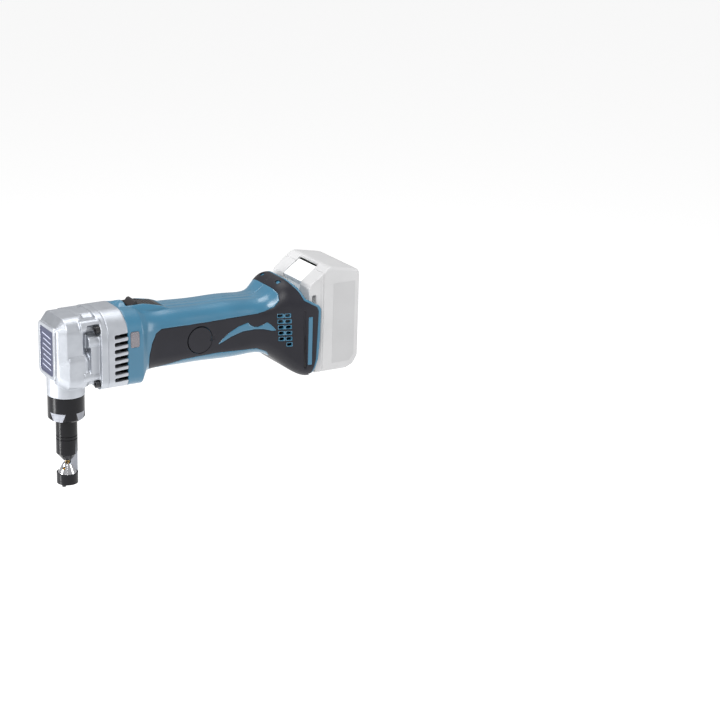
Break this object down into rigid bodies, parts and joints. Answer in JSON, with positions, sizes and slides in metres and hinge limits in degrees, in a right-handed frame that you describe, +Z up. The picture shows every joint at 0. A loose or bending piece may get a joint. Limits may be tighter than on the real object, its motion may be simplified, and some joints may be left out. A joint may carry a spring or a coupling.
{
  "type": "cordless nibbler",
  "caption": "Cordless sheet-metal nibbler: inline motor and grip, cast gear head, down-turned punch and die barrel with lock nut, slide switch and slide-on battery.",
  "frame": {"origin": "on the punch axis at the top face of the die, where the sheet is cut", "axes": "+X along the motor shaft from the gear head to the battery, +Y to the right-hand side seen by the user, +Z up along the punch towards the gear head"},
  "size_m": [0.3191, 0.0826, 0.1912],
  "materials": {
    "blue_plastic": "semi-gloss moulded teal blue with fine texture",
    "grip_elastomer": "soft matt charcoal overmould",
    "zinc_screw": "zinc plated",
    "cast_alloy": "bead-blasted die casting",
    "badge_navy": "printed plastic film, plain pattern",
    "black_screw": "black oxide socket screw",
    "ground_steel": "ground",
    "bearing_steel": "polished",
    "titanium_coat": "golden hard coating on tool steel",
    "bronze": "sintered, oiled",
    "black_oxide": "oiled black oxide on steel",
    "chrome_die": "polished",
    "lamination": "stacked steel sheets",
    "copper_wire": "enamelled copper",
    "copper_bar": "turned copper",
    "dark_plastic": "glass-filled nylon",
    "can_steel": "zinc plated steel can",
    "ferrite": "sintered ferrite",
    "carbon": "pressed carbon",
    "spring_steel": "music wire",
    "cap_plastic": "matt moulded",
    "knob_plastic": "matt moulded",
    "lens_clear": "frosted window",
    "circuit_board": "solder resist",
    "contact_metal": "nickel plated",
    "pack_plastic": "pale warm grey",
    "cell_wrap": "shrink sleeve on steel cells",
    "pack_button": "white"
  },
  "bodies": {
    "housing": {"handle_shell_left": "blue_plastic", "handle_shell_right": "blue_plastic", "grip_left": "grip_elastomer", "grip_right": "grip_elastomer", "shell_screws": "zinc_screw", "gear_housing": "cast_alloy", "front_badge": "badge_navy", "vent_ring": "cast_alloy", "housing_screws": "black_screw", "crank_bearing_front": "bearing_steel", "crank_bearing_rear": "bearing_steel", "motor_bearing_front": "bearing_steel", "motor_bearing_rear": "bearing_steel", "guide_bush": "bronze", "ram_cap": "bronze", "air_baffle": "dark_plastic", "motor_can": "can_steel", "magnets": "ferrite", "brush_holders": "dark_plastic", "brushes": "carbon", "brush_springs": "spring_steel", "brush_cap_left": "cap_plastic", "brush_cap_right": "cap_plastic", "switch_unit": "dark_plastic", "light_lens": "lens_clear", "light_board": "circuit_board", "terminal_block": "dark_plastic", "terminal_blades": "contact_metal"},
    "armature": {"armature_shaft": "ground_steel", "pinion": "ground_steel", "armature_core": "lamination", "armature_windings": "copper_wire", "commutator": "copper_bar", "fan": "dark_plastic"},
    "crank": {"crankshaft": "ground_steel", "crank_gear": "ground_steel", "crank_roller": "bearing_steel"},
    "ram_set": {"ram": "ground_steel", "punch": "titanium_coat", "punch_pin": "bearing_steel"},
    "die_set": {"die_holder": "black_oxide", "die": "chrome_die", "die_screws": "black_screw"},
    "lock_ring": {"lock_nut": "black_oxide"},
    "slider": {"switch_knob": "knob_plastic", "switch_rod": "dark_plastic"},
    "battery": {"pack_front": "pack_plastic", "pack_rear": "pack_plastic", "cells": "cell_wrap", "cell_links": "contact_metal", "pack_terminals": "contact_metal", "latch_springs": "spring_steel"},
    "latch": {"latch_button": "pack_button"}
  },
  "joints": [
    {"name": "armature_spin", "type": "hinge", "parent": "housing", "child": "armature", "pos_m": [0.08, 0, 0.1115], "axis": [1, 0, 0], "continuous": true},
    {"name": "crank_spin", "type": "hinge", "parent": "housing", "child": "crank", "pos_m": [0.02, 0, 0.0953], "axis": [1, 0, 0], "continuous": true},
    {"name": "ram_stroke", "type": "slide", "parent": "housing", "child": "ram_set", "axis": [0, 0, -1], "range_m": [0, 0.005]},
    {"name": "die_swivel", "type": "hinge", "parent": "housing", "child": "die_set", "pos_m": [0, 0, 0.03], "axis": [0, 0, 1], "continuous": true},
    {"name": "lock_nut_turn", "type": "hinge", "parent": "housing", "child": "lock_ring", "pos_m": [0, 0, 0.06], "axis": [0, 0, -1], "range_deg": [0, 180]},
    {"name": "switch_slide", "type": "slide", "parent": "housing", "child": "slider", "axis": [-0.993, 0, 0.118], "range_m": [0, 0.004], "stiffness_N_per_m": 300, "springref_m": -0.003},
    {"name": "battery_slide", "type": "slide", "parent": "housing", "child": "battery", "axis": [0, 0, 1], "range_m": [0, 0.1]},
    {"name": "latch_press", "type": "slide", "parent": "battery", "child": "latch", "axis": [1, 0, 0], "range_m": [0, 0.004], "stiffness_N_per_m": 1500, "springref_m": -0.002, "deforming": ["latch_springs"]}
  ],
  "couplings": [
    {"joint": "crank_spin", "follows": "armature_spin", "ratio": -0.22727}
  ]
}
